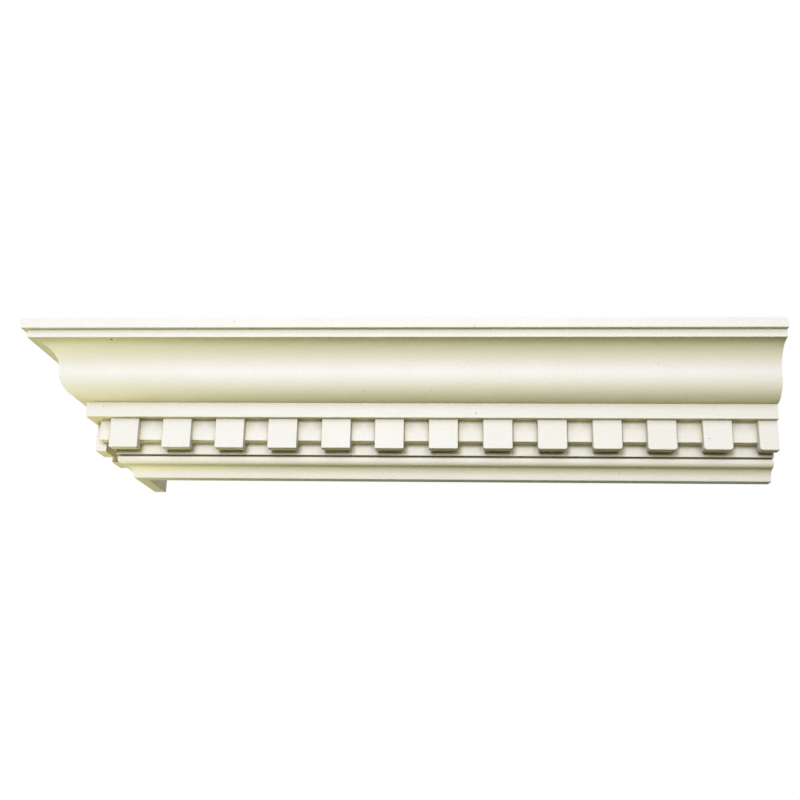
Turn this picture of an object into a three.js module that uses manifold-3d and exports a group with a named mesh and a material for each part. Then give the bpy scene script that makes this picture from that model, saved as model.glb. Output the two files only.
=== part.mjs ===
// Dentil cornice moulding in primed rigid foam: a front length and a short return length,
// mitred together round an external wall corner.
//
// Millimetres. X runs along the front wall, Y goes into that wall and Z is up. The origin
// is the centre of the front length's wall land, the flat strip that is glued to the wall,
// so the front wall is the plane Y = 0 and the room is on its -Y side.
//
// A section point is (projection, height): how far it stands out from the wall, and how
// high it is above the moulding's bottom edge.
import * as THREE from 'three';
import { mergeVertices } from 'three/addons/utils/BufferGeometryUtils.js';
import Module from 'manifold-3d';

// Lengths along the wall, from the wall corner to each square-cut end
const FRONT_LENGTH = 633;
const RETURN_DENTILS = 2;
const MITRE_GAP = 0.3;

// Back of the section, bedded on the wall and on the ceiling
const WALL_LAND = 40;
const CEILING_LAND = 37;

// Foot and the small cyma over it
const FOOT_THICKNESS = 13;
const FOOT_LEAN = 0.6;
const FOOT_HEIGHT = 4;
const CYMA_HOLLOW_RADIUS = 9.25;
const CYMA_ROUND_RADIUS = 5.2;
const CYMA_SLOPE = THREE.MathUtils.degToRad(10);
const LISTEL_PROJECTION = 27.2;
const LISTEL_HEIGHT = 2.66;

// Band that the dentils hang in front of, with the quirk under it
const QUIRK_HEIGHT = 1.6;
const QUIRK_DEPTH = 5;
const BAND_PROJECTION = 28.8;
const BAND_HEIGHT = 11.4;

// Dentil course: the sunk panel and the slabs on it. Each slab hangs below the panel with
// an open shadow gap between its back and the band.
const PANEL_OVERHANG = 13.8;
const PANEL_HEIGHT = 21.2;
const DENTIL_WIDTH = 28.8;
const DENTIL_GAP = 24.9;
const DENTIL_RELIEF = 7.3;
const DENTIL_THICKNESS = 11;
const DENTIL_DROP = 8.7;
const DENTIL_ROOT = 6;

// Corona: fillet, ovolo, neck and cove
const CORONA_OVERHANG = 12.1;
const CORONA_HEIGHT = 15;
const OVOLO_RADIUS = 24.5;
const OVOLO_SWELL = 23;
const NECK_HEIGHT = 3;
const COVE_RADIUS = 25.3;
const COVE_LIP = 0.7;

// Crown: upper fillet and fascia
const FILLET_HEIGHT = 7.9;
const FASCIA_STEP = 5.3;
const FASCIA_HEIGHT = 10.35;

// Facets on each rounded member are twice this number
const CURVE_SEGMENTS = 8;

// Projections from the wall, worked outwards
const panelProjection = BAND_PROJECTION + PANEL_OVERHANG;
const dentilProjection = panelProjection + DENTIL_RELIEF;
const coronaProjection = panelProjection + CORONA_OVERHANG;
const neckProjection = coronaProjection + OVOLO_SWELL;
const filletProjection = neckProjection + COVE_RADIUS + COVE_LIP;
const totalProjection = filletProjection + FASCIA_STEP;

// Lower cyma: a hollow that starts on the leaning foot, a slope, and a round that ends
// upright under the listel
const footTop = new THREE.Vector2(FOOT_THICKNESS + FOOT_LEAN, FOOT_HEIGHT);
const hollowStart = Math.PI - Math.atan2(FOOT_LEAN, FOOT_HEIGHT);
const hollowEnd = Math.PI / 2 + CYMA_SLOPE;
const hollowCentre = footTop.clone().sub(pointOnArc(CYMA_HOLLOW_RADIUS, hollowStart));
const slopeFoot = hollowCentre.clone().add(pointOnArc(CYMA_HOLLOW_RADIUS, hollowEnd));
const roundStart = CYMA_SLOPE - Math.PI / 2;
const roundFoot = pointOnArc(CYMA_ROUND_RADIUS, roundStart);
const roundCentreProjection = LISTEL_PROJECTION - CYMA_ROUND_RADIUS;
const slopeRun = roundCentreProjection + roundFoot.x - slopeFoot.x;
const roundCentreHeight = slopeFoot.y + slopeRun * Math.tan(CYMA_SLOPE) - roundFoot.y;

// Heights above the bottom edge, worked upwards
const listelTop = roundCentreHeight + LISTEL_HEIGHT;
const bandFoot = listelTop + QUIRK_HEIGHT;
const bandTop = bandFoot + BAND_HEIGHT;
const panelTop = bandTop + PANEL_HEIGHT;
const coronaTop = panelTop + CORONA_HEIGHT;
const ovoloCentreProjection = neckProjection - OVOLO_RADIUS;
const ovoloFoot = coronaProjection - ovoloCentreProjection;
const ovoloDrop = Math.sqrt(OVOLO_RADIUS ** 2 - ovoloFoot ** 2);
const ovoloCentreHeight = coronaTop + ovoloDrop;
const neckTop = ovoloCentreHeight + NECK_HEIGHT;
const coveTop = neckTop + COVE_RADIUS;
const fasciaFoot = coveTop + FILLET_HEIGHT;
const totalHeight = fasciaFoot + FASCIA_HEIGHT;

// Plan of the dentil course. The outer corner of the sunk panel falls half a gap from the
// first dentil on each length, and the return ends half a gap past its last one.
const dentilPitch = DENTIL_WIDTH + DENTIL_GAP;
const firstDentil = DENTIL_GAP / 2 - panelProjection;
const returnLength = RETURN_DENTILS * dentilPitch - panelProjection;
const wallCorner = new THREE.Vector3(-FRONT_LENGTH / 2, 0, -WALL_LAND / 2);

const primer = new THREE.MeshStandardMaterial({
  name: 'primed_foam',
  color: new THREE.Color(0.91, 0.895, 0.8),
  roughness: 0.62,
  metalness: 0,
});

const wasm = await Module();
wasm.setup();

function pointOnArc(radius, angle) {
  return new THREE.Vector2(radius * Math.cos(angle), radius * Math.sin(angle));
}

// The true section, drawn from the foot of the wall land outwards and up
function mouldingSection() {
  const section = new THREE.Shape();
  section.moveTo(0, 0);
  section.lineTo(FOOT_THICKNESS, 0);
  section.lineTo(footTop.x, footTop.y);
  section.absarc(hollowCentre.x, hollowCentre.y, CYMA_HOLLOW_RADIUS, hollowStart, hollowEnd, true);
  section.absarc(roundCentreProjection, roundCentreHeight, CYMA_ROUND_RADIUS, roundStart, 0, false);
  section.lineTo(LISTEL_PROJECTION, listelTop);
  section.lineTo(BAND_PROJECTION - QUIRK_DEPTH, listelTop);
  section.lineTo(BAND_PROJECTION - QUIRK_DEPTH, bandFoot);
  section.lineTo(BAND_PROJECTION, bandFoot);
  section.lineTo(BAND_PROJECTION, bandTop);
  section.lineTo(panelProjection, bandTop);
  section.lineTo(panelProjection, panelTop);
  section.lineTo(coronaProjection, panelTop);
  section.lineTo(coronaProjection, coronaTop);
  const ovoloStart = -Math.atan2(ovoloDrop, ovoloFoot);
  section.absarc(ovoloCentreProjection, ovoloCentreHeight, OVOLO_RADIUS, ovoloStart, 0, false);
  section.absarc(neckProjection + COVE_RADIUS, neckTop, COVE_RADIUS, Math.PI, Math.PI / 2, true);
  section.lineTo(filletProjection, coveTop);
  section.lineTo(filletProjection, fasciaFoot);
  section.lineTo(totalProjection, fasciaFoot);
  section.lineTo(totalProjection, totalHeight);
  section.lineTo(totalProjection - CEILING_LAND, totalHeight);
  section.lineTo(0, WALL_LAND);
  section.closePath();
  return section;
}

// A closed three.js geometry as a solid that can be joined and cut
function toSolid(geometry) {
  const bare = geometry.index ? geometry.clone() : geometry;
  bare.deleteAttribute('normal');
  bare.deleteAttribute('uv');
  const merged = mergeVertices(bare);
  const vertProperties = new Float32Array(merged.attributes.position.array);
  const triVerts = new Uint32Array(merged.index.array);
  return new wasm.Manifold(new wasm.Mesh({ numProp: 3, vertProperties, triVerts }));
}

function toGeometry(solid) {
  const { numProp, vertProperties, triVerts } = solid.getMesh();
  const geometry = new THREE.BufferGeometry();
  geometry.setAttribute('position', new THREE.BufferAttribute(vertProperties, numProp));
  geometry.setIndex(new THREE.BufferAttribute(triVerts, 1));
  geometry.computeVertexNormals();
  return geometry;
}

// The plain moulding of one length, square at both ends, in the length's own frame: X runs
// along the wall from the wall corner, and side is the sign of Y on which the section
// stands out. It starts far enough back to take the mitre.
function squareMoulding(length, side) {
  const geometry = new THREE.ExtrudeGeometry(mouldingSection(), {
    depth: length + totalProjection,
    steps: 1,
    curveSegments: CURVE_SEGMENTS,
    bevelEnabled: false,
  });
  const outwards = new THREE.Vector3(0, side, 0);
  const up = new THREE.Vector3(0, 0, 1);
  const along = new THREE.Vector3(side, 0, 0);
  geometry.applyMatrix4(new THREE.Matrix4().makeBasis(outwards, up, along));
  geometry.translate(side > 0 ? -totalProjection : length, 0, 0);
  return toSolid(geometry);
}

// What the saw takes off at the mitre: all that lies past the 45 degree plane through the
// wall corner, and half of the mitre gap
function mitreWaste(side) {
  const reach = 2 * totalProjection;
  const waste = new THREE.BoxGeometry(reach, 2 * reach, 2 * reach);
  waste.translate((MITRE_GAP - reach) / 2, 0, totalHeight / 2);
  waste.rotateZ((side * Math.PI) / 4);
  return toSolid(waste);
}

// One dentil slab, its back sunk into the panel and its top into the corona
function dentilSlab(start, end, side) {
  const foot = bandTop - DENTIL_DROP;
  const height = panelTop + DENTIL_ROOT - foot;
  const middle = dentilProjection - DENTIL_THICKNESS / 2;
  const slab = new THREE.BoxGeometry(end - start, DENTIL_THICKNESS, height);
  slab.translate((start + end) / 2, side * middle, foot + height / 2);
  return toSolid(slab);
}

// A whole length: the moulding with every dentil that starts before its square end, cut
// to the mitre
function mouldedLength(name, length, side) {
  let solid = squareMoulding(length, side);
  for (let start = firstDentil; start < length; start += dentilPitch) {
    const end = Math.min(start + DENTIL_WIDTH, length);
    solid = solid.add(dentilSlab(start, end, side));
  }
  solid = solid.subtract(mitreWaste(side));
  const mesh = new THREE.Mesh(toGeometry(solid), primer.clone());
  mesh.name = name;
  mesh.position.copy(wallCorner);
  return mesh;
}

// The front length stands out towards -Y. The return runs back along +Y, standing out
// towards -X, so it is turned a quarter round the wall corner.
const frontLength = mouldedLength('front_length', FRONT_LENGTH, -1);
const returnPiece = mouldedLength('return_length', returnLength, 1);
returnPiece.rotation.z = Math.PI / 2;

const cornice = new THREE.Group();
cornice.name = 'dentil_cornice';
cornice.add(frontLength, returnPiece);

export default cornice;
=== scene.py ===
import math
import random
from collections import namedtuple

import bmesh
import bpy
from mathutils import Matrix, Vector


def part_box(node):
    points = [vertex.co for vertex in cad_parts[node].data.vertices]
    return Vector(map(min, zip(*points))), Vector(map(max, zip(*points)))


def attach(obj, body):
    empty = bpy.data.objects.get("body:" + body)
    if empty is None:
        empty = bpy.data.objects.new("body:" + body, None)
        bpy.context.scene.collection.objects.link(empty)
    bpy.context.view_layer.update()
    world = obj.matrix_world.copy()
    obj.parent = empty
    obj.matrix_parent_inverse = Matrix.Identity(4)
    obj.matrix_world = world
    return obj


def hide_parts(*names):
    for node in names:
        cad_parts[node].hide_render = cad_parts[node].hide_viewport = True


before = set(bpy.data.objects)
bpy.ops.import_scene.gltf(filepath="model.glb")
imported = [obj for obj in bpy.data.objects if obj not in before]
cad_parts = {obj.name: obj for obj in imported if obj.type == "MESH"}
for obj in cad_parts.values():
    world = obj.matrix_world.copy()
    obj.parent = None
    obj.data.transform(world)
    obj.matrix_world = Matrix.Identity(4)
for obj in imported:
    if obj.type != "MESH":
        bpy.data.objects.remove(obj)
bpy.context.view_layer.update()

bl_info = {
    "name": "Dentil Cornice",
    "version": (1, 0, 0),
    "blender": (4, 5, 0),
    "location": "3D View > Sidebar > Cornice",
    "description": "A primed foam dentil cornice, mitred round an external corner, in a studio",
    "category": "Add Mesh",
}

FRONT_NODE = "front_length"
RETURN_NODE = "return_length"
UP = Vector((0, 0, 1))

# A section point is (projection, height): how far it stands out from the wall, and how high
# it is above the moulding's bottom edge. All lengths are in metres.
front_low, front_high = (Vector(corner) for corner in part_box(FRONT_NODE))
return_high = Vector(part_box(RETURN_NODE)[1])
TOTAL_PROJECTION = front_high.y - front_low.y
TOTAL_HEIGHT = front_high.z - front_low.z
WALL_CORNER = Vector((return_high.x, front_high.y, front_low.z))

# Both runs of moulding start at the wall corner. The seed sets how a run's dentils differ.
Run = namedtuple("Run", "name node outward along length seed")
FRONT_RUN = Run(
    name="front_moulding",
    node=FRONT_NODE,
    outward=Vector((0, -1, 0)),
    along=Vector((1, 0, 0)),
    length=front_high.x - WALL_CORNER.x,
    seed=11,
)
RETURN_RUN = Run(
    name="return_moulding",
    node=RETURN_NODE,
    outward=Vector((-1, 0, 0)),
    along=Vector((0, 1, 0)),
    length=return_high.y - WALL_CORNER.y,
    seed=23,
)

# How finely the round members, the softened edges and the pinholes are divided
CORONA_ARC_STEPS = 28
CYMA_ARC_STEPS = 10
BEVEL_SEGMENTS = 4
HOLLOW_SUBDIVISIONS = 2

# How near two points have to be to touch, and how near a point that is looked for is found
TOUCHING = 1e-6
NEAR = 1e-5

# The cove's lip is thin, so its edge takes only this share of the arris radius
LIP_SHARE = 0.6

# Shares of the front length where the dentils begin to lose their crispness, and have lost it
CRISP_SHARE = 0.45
SOFT_SHARE = 0.75

# Spare length past each end, which the saw takes off, and half the closed joint at the mitre
SAW_ALLOWANCE = 0.01
HALF_MITRE_JOINT = 0.00002

# A sawn face looks at least this far along the run or the mitre, as a cosine, and a face of
# the hidden back looks at most this far outwards
SAWN_FACING = 0.999
BACK_FACING = -0.5

# The foam comes after the primer in a length's list of materials
FOAM_INDEX = 1

# Edges sharper than this stay crisp, and large faces lead the shading with this weight
SHARP_ANGLE = math.radians(35)
FACE_WEIGHT = 100


def length_property(name, description, default):
    return bpy.props.FloatProperty(
        name=name,
        description=description,
        default=default,
        min=0,
        precision=5,
        unit="LENGTH",
        subtype="DISTANCE",
    )


def colour_property(name, description, default):
    return bpy.props.FloatVectorProperty(
        name=name,
        description=description,
        default=default,
        size=3,
        min=0,
        max=1,
        subtype="COLOR",
    )


class CorniceSection(bpy.types.PropertyGroup):
    """Sizes of the moulded members, from the foot up"""

    wall_land: length_property("Wall land", "Height of the strip bedded on the wall", 0.040)
    ceiling_land: length_property("Ceiling land", "Depth of the strip bedded on the ceiling", 0.037)
    foot_thickness: length_property("Foot thickness", "Projection of the bottom edge", 0.013)
    foot_lean: length_property("Foot lean", "How far the foot leans out over its height", 0.0006)
    foot_height: length_property("Foot height", "Height of the foot's face", 0.004)
    hollow_radius: length_property("Cyma hollow", "Radius of the lower cyma's hollow", 0.00925)
    round_radius: length_property("Cyma round", "Radius of the lower cyma's round", 0.0052)
    cyma_slope: bpy.props.FloatProperty(
        name="Cyma slope",
        description="Rise of the lower cyma's straight part",
        default=math.radians(10),
        unit="ROTATION",
        subtype="ANGLE",
    )
    listel_projection: length_property("Listel projection", "Projection of the narrow face", 0.0272)
    listel_height: length_property("Listel height", "Height of the narrow face", 0.00266)
    quirk_height: length_property("Quirk height", "Height of the groove over the listel", 0.0016)
    quirk_depth: length_property("Quirk depth", "Depth of the groove behind the band", 0.005)
    band_projection: length_property("Band projection", "Projection behind the dentils", 0.0288)
    band_height: length_property("Band height", "Height of the band behind the dentils", 0.0114)
    panel_overhang: length_property("Panel overhang", "How far it stands over the band", 0.0138)
    panel_height: length_property("Panel height", "Height of the sunk panel", 0.0212)
    corona_overhang: length_property("Corona overhang", "How far it stands over the panel", 0.0121)
    corona_height: length_property("Corona height", "Height of the corona's flat face", 0.015)
    ovolo_radius: length_property("Ovolo radius", "Radius of the large round member", 0.0245)
    ovolo_swell: length_property("Ovolo swell", "How far it stands over the corona", 0.023)
    neck_height: length_property("Neck height", "Upright strip between round and cove", 0.003)
    cove_radius: length_property("Cove radius", "Radius of the large hollow member", 0.0253)
    cove_lip: length_property("Cove lip", "Flat underside between cove and upper fillet", 0.0007)
    fillet_height: length_property("Fillet height", "Height of the upper fillet", 0.0079)
    arris_radius: length_property("Arris radius", "Softness of the moulded outer edges", 0.0009)
    crease_radius: length_property("Crease radius", "Softness of the inner corners", 0.0007)


class CorniceDentils(bpy.types.PropertyGroup):
    """Sizes of the dentil course"""

    width: length_property("Width", "Width of one dentil", 0.0288)
    gap: length_property("Gap", "Clear distance between two dentils", 0.0249)
    relief: length_property("Relief", "How far a dentil stands out from the panel", 0.0073)
    thickness: length_property("Thickness", "Thickness of a dentil where it hangs free", 0.011)
    drop: length_property("Drop", "How far a dentil hangs below the panel", 0.0087)
    root: length_property("Root", "How far a dentil runs up into the corona", 0.006)
    crisp_edge: length_property("Crisp edge", "Front edge radius of a crisp dentil", 0.0006)
    soft_edge: length_property("Soft edge", "Front edge radius of a soft dentil", 0.0013)
    crisp_corner: length_property("Crisp corner", "Lower corner radius of a crisp dentil", 0.0008)
    soft_corner: length_property("Soft corner", "Lower corner radius of a soft dentil", 0.0032)
    unevenness: length_property("Unevenness", "How far casting moves a dentil's faces", 0.00025)


class CorniceFinish(bpy.types.PropertyGroup):
    """Colours of the primer and of the foam, with the shade painted into them"""

    primer: colour_property("Primer", "Ivory factory primer", (0.780, 0.765, 0.590))
    primer_shade: colour_property("Primer shade", "Thinner primer", (0.757, 0.740, 0.555))
    speckle: colour_property("Speckle", "Fine specks in the primer", (0.735, 0.715, 0.530))
    # Painted shade: a yellower primer on faces that look down, standing in for the hue their shade
    # takes
    downward_shade_tint: colour_property("Yellowed", "Primer on faces that look down", (0.820, 0.795, 0.410))
    # Painted shade: a dark olive laid into creases and recesses, standing in for the shade there
    crease_shade: colour_property("Crease", "Dust and dirt held in the creases", (0.280, 0.240, 0.080))
    foam: colour_property("Foam", "Sawn foam at the cut ends", (0.800, 0.740, 0.520))
    # Painted shade: the darker colour of the cell hollows stands in for the shade inside them
    foam_cell_shade: colour_property("Foam cells", "Hollows of the sawn foam", (0.620, 0.550, 0.340))
    roughness: bpy.props.FloatProperty(
        name="Roughness",
        description="Eggshell sheen of the primer",
        default=0.55,
        min=0,
        max=1,
        subtype="FACTOR",
    )


class CorniceStudio(bpy.types.PropertyGroup):
    """Place, size and colour of the studio floor"""

    floor_drop: length_property("Floor drop", "From the moulding's foot down to the floor", 1.4)
    floor_size: length_property("Floor size", "Side of the square floor", 9.0)
    floor_colour: colour_property("Floor", "Pale floor paint", (0.82, 0.80, 0.74))


PROPERTY_GROUPS = {
    "cornice_section": CorniceSection,
    "cornice_dentils": CorniceDentils,
    "cornice_finish": CorniceFinish,
    "cornice_studio": CorniceStudio,
}


def select_only(obj):
    bpy.ops.object.select_all(action="DESELECT")
    obj.select_set(True)
    bpy.context.view_layer.objects.active = obj


def join_all(pieces):
    """Joins the pieces into the one that is active, the last one added"""
    for piece in pieces:
        piece.select_set(True)
    bpy.ops.object.join()
    return bpy.context.object


def run_point(run, projection, height, distance=0.0):
    """The place of a section point at a distance along the run from the wall corner"""
    return WALL_CORNER + run.outward * projection + UP * height + run.along * distance


def select_vertices_at(obj, places):
    """Selects, in edit mode, only the vertices at these places"""
    mesh = bmesh.from_edit_mesh(obj.data)
    for vertex in mesh.verts:
        vertex.select_set(any((vertex.co - place).length < NEAR for place in places))
    mesh.select_flush_mode()
    bmesh.update_edit_mesh(obj.data)


class OutlinePen:
    """Draws a section outline in edit mode, one extrude or spin at a time"""

    DOT_SIZE = 0.001

    def __init__(self, run, distance):
        self.run = run
        self.distance = distance
        self.at = (0.0, 0.0)
        self.corners = []
        bpy.ops.object.select_all(action="DESELECT")
        bpy.ops.mesh.primitive_plane_add(size=self.DOT_SIZE, location=self.place(self.at))
        self.obj = bpy.context.object
        bpy.ops.object.transform_apply(location=True, rotation=True, scale=True)
        bpy.ops.object.mode_set(mode="EDIT")
        bpy.ops.mesh.select_mode(type="VERT")
        bpy.ops.mesh.select_all(action="SELECT")
        bpy.ops.mesh.merge(type="CENTER")

    def place(self, point):
        return run_point(self.run, point[0], point[1], self.distance)

    def round_here(self, radius):
        """Marks the point that the pen has reached as a corner to be rounded at the end"""
        self.corners.append((self.place(self.at), radius))

    def line(self, projection, height, radius=None):
        """A straight stretch, ending in a corner that is rounded when it has a radius"""
        move = self.place((projection, height)) - self.place(self.at)
        bpy.ops.mesh.extrude_region_move(TRANSFORM_OT_translate={"value": move})
        self.at = (projection, height)
        if radius:
            self.round_here(radius)

    def arc(self, centre, turn, steps):
        """An arc about a centre; a positive turn goes from outwards towards up"""
        bpy.ops.mesh.spin(
            steps=steps,
            angle=turn,
            center=self.place(centre),
            axis=UP.cross(self.run.outward),
            use_auto_merge=False,
        )
        reach = Matrix.Rotation(turn, 2) @ (Vector(self.at) - Vector(centre))
        self.at = (centre[0] + reach.x, centre[1] + reach.y)

    def finish(self):
        """Closes the outline, rounds its corners and fills it"""
        bpy.ops.mesh.select_all(action="SELECT")
        bpy.ops.mesh.remove_doubles(threshold=TOUCHING)
        for radius in sorted({radius for _, radius in self.corners}):
            select_vertices_at(self.obj, [place for place, size in self.corners if size == radius])
            bpy.ops.mesh.bevel(
                offset=radius,
                offset_type="OFFSET",
                segments=BEVEL_SEGMENTS,
                affect="VERTICES",
                clamp_overlap=False,
            )
        bpy.ops.mesh.select_all(action="SELECT")
        bpy.ops.mesh.edge_face_add()
        bpy.ops.object.mode_set(mode="OBJECT")


def draw_foot(pen, sizes):
    """The bottom edge and the foot's face, which leans out a little"""
    pen.round_here(sizes.crease_radius)
    pen.line(sizes.foot_thickness, 0.0, sizes.arris_radius)
    pen.line(sizes.foot_thickness + sizes.foot_lean, sizes.foot_height)


def draw_cyma(pen, sizes):
    """A hollow that starts on the leaning foot, a slope, and a round that ends upright"""
    hollow_start = math.pi - math.atan2(sizes.foot_lean, sizes.foot_height)
    hollow_end = math.pi / 2 + sizes.cyma_slope
    hollow_centre = (
        pen.at[0] - sizes.hollow_radius * math.cos(hollow_start),
        pen.at[1] - sizes.hollow_radius * math.sin(hollow_start),
    )
    pen.arc(hollow_centre, hollow_end - hollow_start, CYMA_ARC_STEPS)

    round_turn = math.pi / 2 - sizes.cyma_slope
    round_foot = sizes.listel_projection - sizes.round_radius * (1 - math.cos(round_turn))
    rise = (round_foot - pen.at[0]) * math.tan(sizes.cyma_slope)
    pen.line(round_foot, pen.at[1] + rise)
    round_centre = (
        sizes.listel_projection - sizes.round_radius,
        pen.at[1] + sizes.round_radius * math.sin(round_turn),
    )
    pen.arc(round_centre, round_turn, CYMA_ARC_STEPS)


def draw_band_and_panel(pen, sizes):
    """The listel, the quirk, the band and the sunk panel; gives the last two's top heights"""
    listel_top = pen.at[1] + sizes.listel_height
    band_foot = listel_top + sizes.quirk_height
    band_top = band_foot + sizes.band_height
    panel_top = band_top + sizes.panel_height
    quirk = sizes.band_projection - sizes.quirk_depth
    panel = sizes.band_projection + sizes.panel_overhang
    pen.line(sizes.listel_projection, listel_top, sizes.arris_radius)
    pen.line(quirk, listel_top, sizes.crease_radius)
    pen.line(quirk, band_foot, sizes.crease_radius)
    pen.line(sizes.band_projection, band_foot, sizes.crease_radius)
    pen.line(sizes.band_projection, band_top, sizes.crease_radius)
    pen.line(panel, band_top, sizes.arris_radius)
    pen.line(panel, panel_top, sizes.crease_radius)
    return band_top, panel_top


def draw_corona(pen, sizes):
    """The corona's flat face, the ovolo, the neck, the cove and the cove's lip"""
    panel, panel_top = pen.at
    corona = panel + sizes.corona_overhang
    corona_top = panel_top + sizes.corona_height
    neck = corona + sizes.ovolo_swell
    pen.line(corona, panel_top, sizes.arris_radius)
    pen.line(corona, corona_top, sizes.crease_radius)

    ovolo_foot = corona - (neck - sizes.ovolo_radius)
    ovolo_drop = math.sqrt(sizes.ovolo_radius ** 2 - ovolo_foot ** 2)
    ovolo_centre = (neck - sizes.ovolo_radius, corona_top + ovolo_drop)
    pen.arc(ovolo_centre, math.atan2(ovolo_drop, ovolo_foot), CORONA_ARC_STEPS)
    pen.line(neck, pen.at[1] + sizes.neck_height)
    pen.arc((neck + sizes.cove_radius, pen.at[1]), -math.pi / 2, CORONA_ARC_STEPS)
    fillet = neck + sizes.cove_radius + sizes.cove_lip
    pen.line(fillet, pen.at[1], LIP_SHARE * sizes.arris_radius)


def draw_crown(pen, sizes):
    """The upper fillet and the fascia"""
    fillet, cove_top = pen.at
    fascia_foot = cove_top + sizes.fillet_height
    pen.line(fillet, fascia_foot, sizes.crease_radius)
    pen.line(TOTAL_PROJECTION, fascia_foot, sizes.arris_radius)
    pen.line(TOTAL_PROJECTION, TOTAL_HEIGHT, sizes.arris_radius)


def draw_back(pen, sizes):
    """The ceiling land, the slope and the wall land, down to the start"""
    pen.line(TOTAL_PROJECTION - sizes.ceiling_land, TOTAL_HEIGHT, sizes.crease_radius)
    pen.line(0.0, sizes.wall_land, sizes.crease_radius)
    pen.line(0.0, 0.0)


def draw_section(run, sizes, distance):
    """The filled outline of the moulding, with the heights of its band's and panel's tops"""
    pen = OutlinePen(run, distance)
    draw_foot(pen, sizes)
    draw_cyma(pen, sizes)
    band_top, panel_top = draw_band_and_panel(pen, sizes)
    draw_corona(pen, sizes)
    draw_crown(pen, sizes)
    draw_back(pen, sizes)
    pen.finish()
    return pen.obj, band_top, panel_top


def pull_along(obj, move):
    """Extrudes the drawn section into a prism and turns its faces outwards"""
    select_only(obj)
    bpy.ops.object.mode_set(mode="EDIT")
    bpy.ops.mesh.select_all(action="SELECT")
    bpy.ops.mesh.extrude_region_move(TRANSFORM_OT_translate={"value": move})
    bpy.ops.mesh.select_all(action="SELECT")
    bpy.ops.mesh.normals_make_consistent(inside=False)
    bpy.ops.object.mode_set(mode="OBJECT")


def add_block(run, projections, heights, distances):
    """A box between two projections, two heights and two distances along the run"""
    low = run_point(run, projections[0], heights[0], distances[0])
    high = run_point(run, projections[1], heights[1], distances[1])
    bpy.ops.object.select_all(action="DESELECT")
    bpy.ops.mesh.primitive_cube_add(size=1, location=(low + high) / 2)
    block = bpy.context.object
    block.scale = [abs(side) for side in high - low]
    bpy.ops.object.transform_apply(location=True, rotation=True, scale=True)
    return block


def bevel_edges(block, radius, chosen):
    """Rounds the edges that chosen says yes to, given both ends measured from the wall corner"""
    bpy.ops.object.mode_set(mode="EDIT")
    bpy.ops.mesh.select_mode(type="EDGE")
    bpy.ops.mesh.select_all(action="DESELECT")
    mesh = bmesh.from_edit_mesh(block.data)
    for edge in mesh.edges:
        first, second = (vertex.co - WALL_CORNER for vertex in edge.verts)
        edge.select_set(chosen(first, second))
    bmesh.update_edit_mesh(block.data)
    bpy.ops.mesh.bevel(
        offset=radius,
        offset_type="OFFSET",
        segments=BEVEL_SEGMENTS,
        affect="EDGES",
        clamp_overlap=True,
    )
    bpy.ops.object.mode_set(mode="OBJECT")


def soften_dentil(block, run, front, foot, top, corner_radius, edge_radius):
    """Rounds the two lower corners of a dentil, then the edge round its front face"""

    def lower_corner(first, second):
        at_foot = max(first.z, second.z) < foot + TOUCHING
        return at_foot and abs((first - second).dot(run.along)) < TOUCHING

    def front_edge(first, second):
        at_front = min(first.dot(run.outward), second.dot(run.outward)) > front - TOUCHING
        return at_front and (first.z + second.z) / 2 < top - TOUCHING

    bevel_edges(block, corner_radius, lower_corner)
    bevel_edges(block, edge_radius, front_edge)


def softness_at(distance):
    """How far the casting has lost its crispness at a distance along a run, from 0 to 1"""
    past_crisp = distance / FRONT_RUN.length - CRISP_SHARE
    return min(1.0, max(0.0, past_crisp / (SOFT_SHARE - CRISP_SHARE)))


def between(crisp, soft, softness):
    return crisp + (soft - crisp) * softness


def build_dentils(run, sizes, dentils, band_top, panel_top):
    """The row of dentil slabs, each a little uneven, joined into one object"""
    chance = random.Random(run.seed)
    full_front = sizes.band_projection + sizes.panel_overhang + dentils.relief
    back = full_front - dentils.thickness
    top = panel_top + dentils.root
    start = dentils.gap / 2 - sizes.band_projection - sizes.panel_overhang
    blocks = []
    while start < run.length:
        left, right, sunk, lift = (chance.uniform(-1, 1) * dentils.unevenness for _ in range(4))
        front = full_front + min(sunk, 0)
        foot = band_top - dentils.drop + lift
        sides = (start + left, start + dentils.width + right)
        block = add_block(run, (back, front), (foot, top), sides)
        softness = softness_at(start)
        corner_radius = between(dentils.crisp_corner, dentils.soft_corner, softness)
        edge_radius = between(dentils.crisp_edge, dentils.soft_edge, softness)
        soften_dentil(block, run, front, foot, top, corner_radius, edge_radius)
        blocks.append(block)
        start += dentils.width + dentils.gap
    return join_all(blocks)


def combine(obj, tool, operation):
    """Joins or cuts with a second object, which is used up"""
    select_only(obj)
    modifier = obj.modifiers.new(operation.title(), "BOOLEAN")
    modifier.operation = operation
    modifier.object = tool
    modifier.solver = "EXACT"
    bpy.ops.object.modifier_apply(modifier=modifier.name)
    bpy.data.objects.remove(tool, do_unlink=True)


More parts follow.
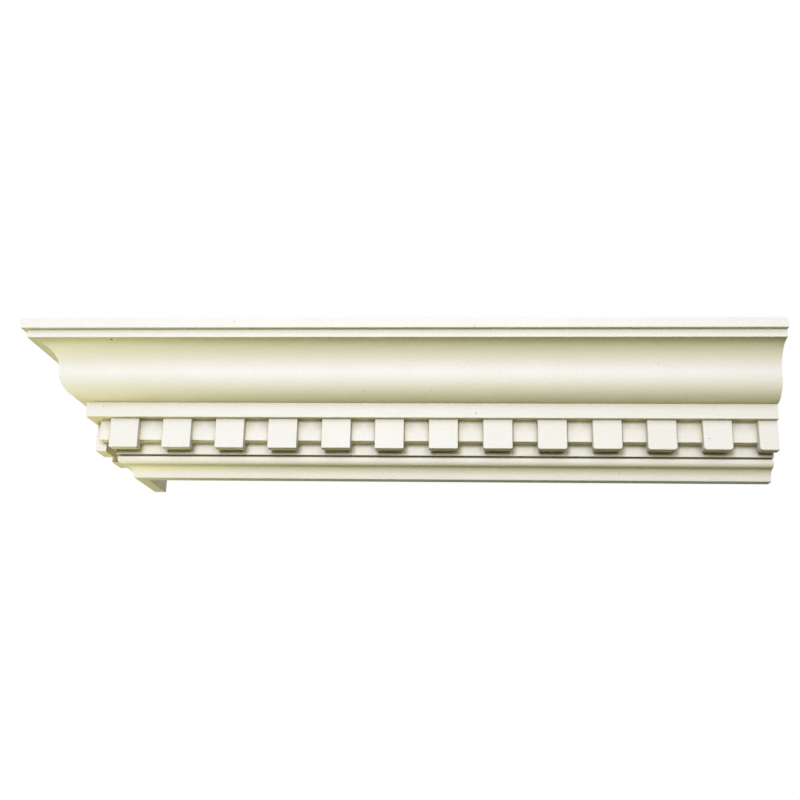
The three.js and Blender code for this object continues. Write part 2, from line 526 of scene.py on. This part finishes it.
# Flaws of this casting, on the front length: distance from the wall corner, projection, height
# and radius. Pinholes lie open on its faces, and nicks on the lower edges of five dentils.
PINHOLES = (
    (-0.0206, 0.0980, 0.1216, 0.0013),
    (-0.0373, 0.0547, 0.0646, 0.0008),
    (0.1033, 0.1090, 0.1359, 0.0007),
    (0.1036, 0.0678, 0.0738, 0.0007),
    (0.2286, 0.0707, 0.0764, 0.0007),
    (0.2947, 0.0716, 0.0773, 0.0007),
    (0.3364, 0.1090, 0.1315, 0.0007),
    (0.3390, 0.0547, 0.0586, 0.0010),
    (0.4621, 0.0629, 0.0710, 0.0007),
    (0.4831, 0.0147, 0.0073, 0.0007),
    (0.5151, 0.0786, 0.1030, 0.0007),
    (0.5662, 0.0497, 0.0353, 0.0008),
)
NICKS = (
    (0.1990, 0.0502, 0.0239, 0.0010),
    (0.2535, 0.0502, 0.0239, 0.0011),
    (0.3060, 0.0502, 0.0239, 0.0009),
    (0.3596, 0.0502, 0.0239, 0.0010),
    (0.5222, 0.0503, 0.0240, 0.0013),
    (0.5255, 0.0505, 0.0238, 0.0014),
    (0.5290, 0.0504, 0.0239, 0.0013),
    (0.5318, 0.0502, 0.0240, 0.0011),
)


def pit(moulding, run):
    """Cuts the pinholes and nicks, each a small hollow, in one go"""
    cutters = []
    for distance, projection, height, radius in PINHOLES + NICKS:
        bpy.ops.object.select_all(action="DESELECT")
        bpy.ops.mesh.primitive_ico_sphere_add(
            subdivisions=HOLLOW_SUBDIVISIONS,
            radius=radius,
            location=run_point(run, projection, height, distance),
        )
        bpy.ops.object.transform_apply(location=True, rotation=True, scale=True)
        cutters.append(bpy.context.object)
    combine(moulding, join_all(cutters), "DIFFERENCE")


def saw(obj, place, kept_side):
    """Cuts flat through the whole object and closes the cut"""
    select_only(obj)
    bpy.ops.object.mode_set(mode="EDIT")
    bpy.ops.mesh.select_all(action="SELECT")
    bpy.ops.mesh.bisect(plane_co=place, plane_no=kept_side, use_fill=True, clear_inner=True)
    bpy.ops.object.mode_set(mode="OBJECT")


def paint_cut_faces(obj, run, ceiling_land):
    """Gives the foam material to the sawn ends and to the back, which has no primer"""
    select_only(obj)
    bpy.ops.object.mode_set(mode="EDIT")
    bpy.ops.mesh.select_mode(type="FACE")
    bpy.ops.mesh.select_all(action="DESELECT")
    mesh = bmesh.from_edit_mesh(obj.data)
    mitre = -(run.along + run.outward).normalized()
    for face in mesh.faces:
        middle = face.calc_center_median() - WALL_CORNER
        behind = middle.dot(run.outward) < TOTAL_PROJECTION - ceiling_land
        at_back = behind and face.normal.dot(run.outward) < BACK_FACING
        last = middle.dot(run.along) > run.length - NEAR
        at_end = last and face.normal.dot(run.along) > SAWN_FACING
        at_mitre = face.normal.dot(mitre) > SAWN_FACING
        face.select_set(at_back or at_end or at_mitre)
    bmesh.update_edit_mesh(obj.data)
    obj.active_material_index = FOAM_INDEX
    bpy.ops.object.material_slot_assign()
    bpy.ops.mesh.select_all(action="DESELECT")
    bpy.ops.object.mode_set(mode="OBJECT")


def smooth_shading(obj):
    """Smooth members and crisp faces: sharp edges by angle, normals led by the large faces"""
    select_only(obj)
    bpy.ops.object.shade_smooth_by_angle(angle=SHARP_ANGLE)
    modifier = obj.modifiers.new("Face normals", "WEIGHTED_NORMAL")
    modifier.keep_sharp = True
    modifier.weight = FACE_WEIGHT
    bpy.ops.object.modifier_apply(modifier=modifier.name)


def build_length(run):
    """One whole length: its section pulled along, dentils added, then sawn, pitted and painted"""
    scene = bpy.context.scene
    sizes = scene.cornice_section
    near = -TOTAL_PROJECTION - SAW_ALLOWANCE
    far = run.length + SAW_ALLOWANCE
    moulding, band_top, panel_top = draw_section(run, sizes, near)
    pull_along(moulding, run.along * (far - near))
    dentils = build_dentils(run, sizes, scene.cornice_dentils, band_top, panel_top)
    combine(moulding, dentils, "UNION")
    mitre = (run.along + run.outward).normalized()
    saw(moulding, WALL_CORNER + mitre * HALF_MITRE_JOINT, mitre)
    saw(moulding, run_point(run, 0, 0, run.length), -run.along)
    if run is FRONT_RUN:
        pit(moulding, run)
    moulding.name = run.name
    moulding.data.name = run.name
    moulding.data.materials.clear()
    moulding.data.materials.append(primer_material(scene.cornice_finish))
    moulding.data.materials.append(foam_material(scene.cornice_finish))
    paint_cut_faces(moulding, run, sizes.ceiling_land)
    smooth_shading(moulding)
    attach(moulding, "root")
    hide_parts(run.node)


class Nodes:
    """A small helper that adds and links the shader nodes of one material"""

    # A mix node's colour sockets share their names with its others, so they go by number
    MIX_COLOURS = (6, 7)
    MIX_RESULT = 2

    def __init__(self, name):
        self.material = bpy.data.materials.get(name) or bpy.data.materials.new(name)
        self.material.use_nodes = True
        self.tree = self.material.node_tree
        self.tree.nodes.clear()
        self.shader = self.add("ShaderNodeBsdfPrincipled")
        output = self.add("ShaderNodeOutputMaterial")
        self.link(self.shader.outputs["BSDF"], output.inputs["Surface"])
        self.place = self.add("ShaderNodeTexCoord").outputs["Object"]

    def add(self, kind, **values):
        node = self.tree.nodes.new(kind)
        for key, value in values.items():
            setattr(node, key, value)
        return node

    def link(self, start, end):
        self.tree.links.new(start, end)

    def vary(self, socket, value):
        """Leads a value that changes over the surface to a socket of the shader"""
        self.link(value, self.shader.inputs[socket])

    def hold(self, socket, number):
        """Sets a socket of the shader to one number all over the surface"""
        self.shader.inputs[socket].default_value = number

    def noise(self, scale, detail, roughness=0.5):
        """Noise with about this many features to the metre"""
        node = self.add("ShaderNodeTexNoise")
        node.inputs["Scale"].default_value = scale
        node.inputs["Detail"].default_value = detail
        node.inputs["Roughness"].default_value = roughness
        self.link(self.place, node.inputs["Vector"])
        return node.outputs["Fac"]

    def cells(self, scale):
        """Distance from the middle of the nearest cell, with about this many to the metre"""
        node = self.add("ShaderNodeTexVoronoi")
        node.inputs["Scale"].default_value = scale
        self.link(self.place, node.inputs["Vector"])
        return node.outputs["Distance"]

    def openness(self, reach):
        """How open the surface is to its surroundings within reach: low in creases"""
        node = self.add("ShaderNodeAmbientOcclusion", samples=12)
        node.inputs["Distance"].default_value = reach
        return node.outputs["AO"]

    def facing(self, axis):
        """How far a face looks along an axis, from -1 to 1"""
        normal = self.add("ShaderNodeSeparateXYZ")
        self.link(self.add("ShaderNodeTexCoord").outputs["Normal"], normal.inputs[0])
        return normal.outputs[axis]

    def not_sideways(self):
        """1 on faces that look forwards, back, up or down, 0 on those that look along the wall"""
        size = self.add("ShaderNodeMath", operation="ABSOLUTE")
        self.link(self.facing("X"), size.inputs[0])
        return self.remap(size.outputs[0], (0.3, 0.9), (1, 0))

    def both(self, first, second):
        """High only where both values are high"""
        node = self.add("ShaderNodeMath", operation="MULTIPLY")
        self.link(first, node.inputs[0])
        self.link(second, node.inputs[1])
        return node.outputs[0]

    def remap(self, value, old, new):
        """Stretches the old range to the new one, and holds values past its ends"""
        node = self.add("ShaderNodeMapRange")
        for socket, number in zip(("From Min", "From Max", "To Min", "To Max"), (*old, *new)):
            node.inputs[socket].default_value = number
        self.link(value, node.inputs["Value"])
        return node.outputs["Result"]

    def blend(self, factor, first, second):
        """A mix of two colours, each a fixed colour or a socket"""
        node = self.add("ShaderNodeMix", data_type="RGBA")
        self.link(factor, node.inputs[0])
        for colour, number in zip((first, second), self.MIX_COLOURS):
            socket = node.inputs[number]
            if isinstance(colour, bpy.types.NodeSocket):
                self.link(colour, socket)
            else:
                socket.default_value = (*colour, 1)
        return node.outputs[self.MIX_RESULT]

    def bump(self, height, distance, under=None):
        """A relief of this depth, on top of another one when that is given"""
        node = self.add("ShaderNodeBump")
        node.inputs["Distance"].default_value = distance
        self.link(height, node.inputs["Height"])
        if under:
            self.link(under, node.inputs["Normal"])
        return node.outputs["Normal"]


def primer_material(finish):
    """Sprayed ivory primer, clouded and speckled, with a fine grain; painted shade darkens its
    creases and tints faces that look down a yellower hue
    """
    nodes = Nodes("ivory_primer")
    clouding = nodes.remap(nodes.noise(scale=14, detail=4), (0.35, 0.7), (0, 1))
    clouded = nodes.blend(clouding, finish.primer, finish.primer_shade)
    specks = nodes.remap(nodes.noise(scale=480, detail=3, roughness=0.7), (0.45, 0.75), (0, 0.6))
    speckled = nodes.blend(specks, clouded, finish.speckle)
    # Painted shade: faces that look down are tinted yellower, standing in for the olive hue of
    # their shade
    downward_shade_mask = nodes.remap(nodes.facing("Z"), (-0.1, -1), (0, 1))
    shade_tinted = nodes.blend(downward_shade_mask, speckled, finish.downward_shade_tint)
    # Painted shade: the surface darkens to the crease colour where ambient occlusion finds it
    # closed in, in creases and under the dentils, but not on faces that look along the wall
    shade_occlusion = nodes.remap(nodes.openness(reach=0.012), (0.2, 0.85), (1, 0))
    crease_shade_mask = nodes.both(shade_occlusion, nodes.not_sideways())
    nodes.vary("Base Color", nodes.blend(crease_shade_mask, shade_tinted, finish.crease_shade))

    glossiest = finish.roughness - 0.05
    dullest = finish.roughness + 0.07
    sheen = nodes.remap(nodes.noise(scale=260, detail=3), (0.3, 0.7), (glossiest, dullest))
    nodes.vary("Roughness", sheen)
    nodes.hold("Specular IOR Level", 0.35)

    waves = nodes.bump(nodes.noise(scale=38, detail=1), distance=0.00025)
    grain = nodes.noise(scale=560, detail=3, roughness=0.6)
    nodes.vary("Normal", nodes.bump(grain, distance=0.0005, under=waves))
    return nodes.material


def foam_material(finish):
    """Sawn rigid foam: small open cells, darker in their hollows as painted shade, and faint saw
    marks
    """
    nodes = Nodes("sawn_foam")
    cells = nodes.cells(scale=1500)
    # Painted shade: the foam darkens towards the middle of each cell, where the bump sinks a pit
    hollow_shade = nodes.remap(cells, (0.1, 0.7), (1, 0))
    nodes.vary("Base Color", nodes.blend(hollow_shade, finish.foam, finish.foam_cell_shade))
    nodes.hold("Roughness", 0.9)
    nodes.hold("Specular IOR Level", 0.2)
    pits = nodes.bump(nodes.remap(cells, (0, 0.6), (0, 1)), distance=0.00025)
    marks = nodes.noise(scale=110, detail=2)
    nodes.vary("Normal", nodes.bump(marks, distance=0.0004, under=pits))
    return nodes.material


# How much lighter the floor's pale patches are than its paint
FLOOR_PATCH_GAIN = 1.04


def floor_material(studio):
    """Pale floor paint with faint, broad patches"""
    nodes = Nodes("pale_floor")
    patches = nodes.remap(nodes.noise(scale=3, detail=3), (0.3, 0.7), (0, 1))
    paler = [min(1, channel * FLOOR_PATCH_GAIN) for channel in studio.floor_colour]
    nodes.vary("Base Color", nodes.blend(patches, studio.floor_colour, paler))
    nodes.hold("Roughness", 0.8)
    return nodes.material


# Area lamps: places and aims are measured from the middle of the front length, and sizes are
# width and height, all in metres. Powers are in watts.
Softbox = namedtuple("Softbox", "name place aim size power colour")
SOFTBOXES = (
    Softbox(
        name="key_light",
        place=(-0.30, -2.25, 0.23),
        aim=(-0.05, 0, 0),
        size=(0.6, 0.66),
        power=39.5,
        colour=(0.98, 0.99, 1.32),
    ),
    Softbox(
        name="right_light",
        place=(0.50, -2.20, 0.28),
        aim=(-0.05, 0, 0),
        size=(0.6, 0.70),
        power=14.5,
        colour=(1.0, 0.98, 0.95),
    ),
    Softbox(
        name="top_light",
        place=(0.0, -1.6, 1.6),
        aim=(0, 0, 0),
        size=(2.0, 1.0),
        power=13.0,
        colour=(0.90, 0.98, 1.30),
    ),
    Softbox(
        name="low_left_light",
        place=(-0.47, 0.03, -0.25),
        aim=(-0.33, 0.02, -0.05),
        size=(0.15, 0.15),
        power=0.50,
        colour=(1.0, 0.96, 0.76),
    ),
)

# The room's own light: bright from the side that the back glow's direction points to, as far
# round as the cosine at its edge, and dim from the rest. The camera sees a white ground.
FRONT_GLOW = (0.045, 0.040, 0.020)
BACK_GLOW = (0.95, 0.97, 1.08)
BACK_GLOW_DIRECTION = (0.0, 0.8, 0.6)
BACK_GLOW_EDGE = 0.3
BACKDROP_WHITE = (1.0, 1.0, 1.0)


def build_world():
    """A dim glow from in front, a brighter one from behind, and a plain white ground to look at"""
    world = bpy.data.worlds.new("studio_world")
    bpy.context.scene.world = world
    world.use_nodes = True
    nodes = world.node_tree.nodes
    links = world.node_tree.links
    nodes.clear()

    def background(colour):
        node = nodes.new("ShaderNodeBackground")
        node.inputs["Color"].default_value = (*colour, 1)
        return node.outputs[0]

    def mix(factor, first, second):
        node = nodes.new("ShaderNodeMixShader")
        links.new(factor, node.inputs[0])
        links.new(first, node.inputs[1])
        links.new(second, node.inputs[2])
        return node.outputs[0]

    towards_glow = nodes.new("ShaderNodeVectorMath")
    towards_glow.operation = "DOT_PRODUCT"
    towards_glow.inputs[1].default_value = BACK_GLOW_DIRECTION
    links.new(nodes.new("ShaderNodeTexCoord").outputs["Generated"], towards_glow.inputs[0])
    from_behind = nodes.new("ShaderNodeMath")
    from_behind.operation = "GREATER_THAN"
    from_behind.inputs[1].default_value = BACK_GLOW_EDGE
    links.new(towards_glow.outputs["Value"], from_behind.inputs[0])
    glow = mix(from_behind.outputs[0], background(FRONT_GLOW), background(BACK_GLOW))
    seen = nodes.new("ShaderNodeLightPath").outputs["Is Camera Ray"]
    output = nodes.new("ShaderNodeOutputWorld")
    links.new(mix(seen, glow, background(BACKDROP_WHITE)), output.inputs["Surface"])


def build_lights():
    """The softboxes, each turned to its aim and hidden from the camera"""
    middle = (front_low + front_high) / 2
    for box in SOFTBOXES:
        place = middle + Vector(box.place)
        aim = middle + Vector(box.aim)
        bpy.ops.object.light_add(type="AREA", location=place)
        lamp = bpy.context.object
        lamp.name = box.name
        lamp.rotation_euler = (aim - place).to_track_quat("-Z", "Y").to_euler()
        lamp.data.shape = "RECTANGLE"
        lamp.data.size, lamp.data.size_y = box.size
        lamp.data.energy = box.power
        lamp.data.color = box.colour
        lamp.visible_camera = False


# Where the camera stands, in metres from the fascia's left top corner, and how it is turned,
# in radians from a level look straight at the wall. Lens and sensor are in millimetres.
CAMERA_ALONG = 0.4301
CAMERA_AWAY = 0.9695
CAMERA_BELOW = 0.3560
CAMERA_TURN = 0.057
CAMERA_TILT = 0.274
CAMERA_ROLL = 0.018
CAMERA_LENS = 48.03
CAMERA_SENSOR = 36


def build_camera():
    """The camera of the photo, low in front of the moulding and looking up at it"""
    corner = Vector((front_low.x, front_low.y, front_high.z))
    place = corner + Vector((CAMERA_ALONG, -CAMERA_AWAY, -CAMERA_BELOW))
    bpy.ops.object.camera_add(location=place)
    camera = bpy.context.object
    camera.name = "photo_camera"
    turn = Matrix.Rotation(CAMERA_TURN, 4, "Z")
    tilt = Matrix.Rotation(math.pi / 2 + CAMERA_TILT, 4, "X")
    roll = Matrix.Rotation(CAMERA_ROLL, 4, "Z")
    camera.matrix_world = Matrix.Translation(place) @ turn @ tilt @ roll
    camera.data.sensor_width = CAMERA_SENSOR
    camera.data.lens = CAMERA_LENS
    bpy.context.scene.camera = camera


def build_floor(studio):
    """A square of painted floor far below the moulding"""
    place = (0, 0, front_low.z - studio.floor_drop)
    bpy.ops.object.select_all(action="DESELECT")
    bpy.ops.mesh.primitive_plane_add(size=studio.floor_size, location=place)
    floor = bpy.context.object
    floor.name = "studio_floor"
    floor.data.materials.append(floor_material(studio))
    # The undersides are dark in the photo, so the floor throws no light up at them
    floor.visible_diffuse = False


class CORNICE_OT_front(bpy.types.Operator):
    """Builds the front length, mitred at the wall corner"""

    bl_idname = "cornice.front_length"
    bl_label = "Front Length"

    def execute(self, context):
        build_length(FRONT_RUN)
        return {"FINISHED"}


class CORNICE_OT_return(bpy.types.Operator):
    """Builds the short return length round the corner"""

    bl_idname = "cornice.return_length"
    bl_label = "Return Length"

    def execute(self, context):
        build_length(RETURN_RUN)
        return {"FINISHED"}


class CORNICE_OT_studio(bpy.types.Operator):
    """Builds the floor, the lights and the camera"""

    bl_idname = "cornice.studio"
    bl_label = "Studio"

    def execute(self, context):
        build_floor(context.scene.cornice_studio)
        build_world()
        build_lights()
        build_camera()
        context.scene.view_settings.view_transform = "Standard"
        context.scene.view_settings.look = "None"
        return {"FINISHED"}


OPERATORS = (CORNICE_OT_front, CORNICE_OT_return, CORNICE_OT_studio)


class CORNICE_PT_panel(bpy.types.Panel):
    """Lists the cornice's pieces and their sizes"""

    bl_label = "Dentil Cornice"
    bl_idname = "CORNICE_PT_panel"
    bl_space_type = "VIEW_3D"
    bl_region_type = "UI"
    bl_category = "Cornice"

    def draw(self, context):
        for operator in OPERATORS:
            self.layout.operator(operator.bl_idname)
        for group_name in PROPERTY_GROUPS:
            group = getattr(context.scene, group_name)
            box = self.layout.box()
            for name in group.__annotations__:
                box.prop(group, name)


CLASSES = (*PROPERTY_GROUPS.values(), *OPERATORS, CORNICE_PT_panel)


def register():
    for cls in CLASSES:
        bpy.utils.register_class(cls)
    for name, group in PROPERTY_GROUPS.items():
        setattr(bpy.types.Scene, name, bpy.props.PointerProperty(type=group))


def unregister():
    for name in PROPERTY_GROUPS:
        delattr(bpy.types.Scene, name)
    for cls in reversed(CLASSES):
        bpy.utils.unregister_class(cls)


def main():
    register()
    bpy.ops.cornice.front_length()
    bpy.ops.cornice.return_length()
    bpy.ops.cornice.studio()


if __name__ == "__main__":
    main()
